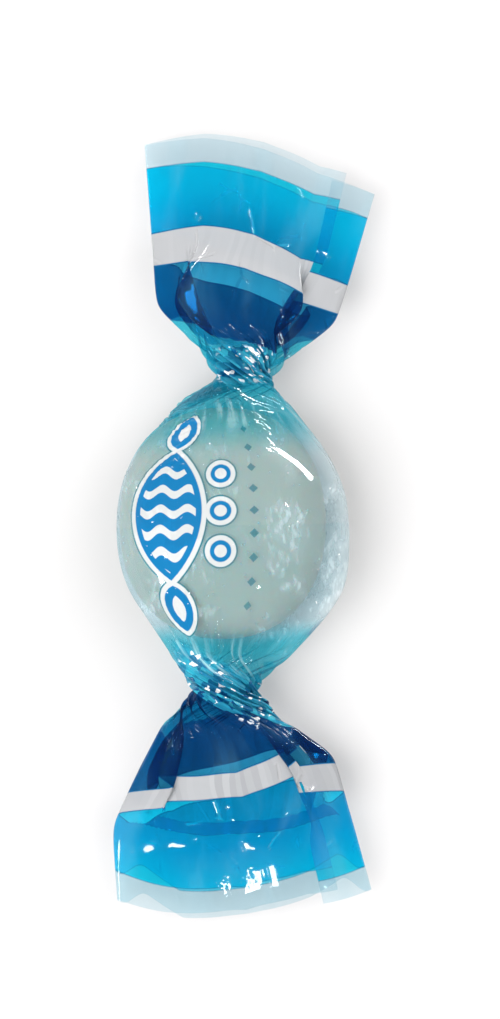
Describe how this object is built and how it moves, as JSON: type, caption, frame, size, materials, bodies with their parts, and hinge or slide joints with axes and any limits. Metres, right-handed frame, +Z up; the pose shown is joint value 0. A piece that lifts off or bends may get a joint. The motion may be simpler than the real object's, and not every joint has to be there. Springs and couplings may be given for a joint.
{
  "type": "hard candy",
  "caption": "Pillow-shaped boiled sweet in clear, striped film, twisted shut at both ends into flared, pleated tails.",
  "frame": {"origin": "middle of the base of the whole object's box, on the surface it lies on", "axes": "+Y along the wrapper from the lower tail to the upper one, +X to the right seen from above, +Z up"},
  "size_m": [0.0244, 0.0724, 0.0126],
  "materials": {
    "sugar": "pale grey-green boiled sugar, translucent, smooth and glossy, with faint specks and bubbles",
    "film": "clear glossy twist film with a light blue tint, printed with cyan, white and navy stripes across its tails"
  },
  "bodies": {
    "root": {"candy": "sugar", "wrapper": "film"}
  },
  "joints": []
}
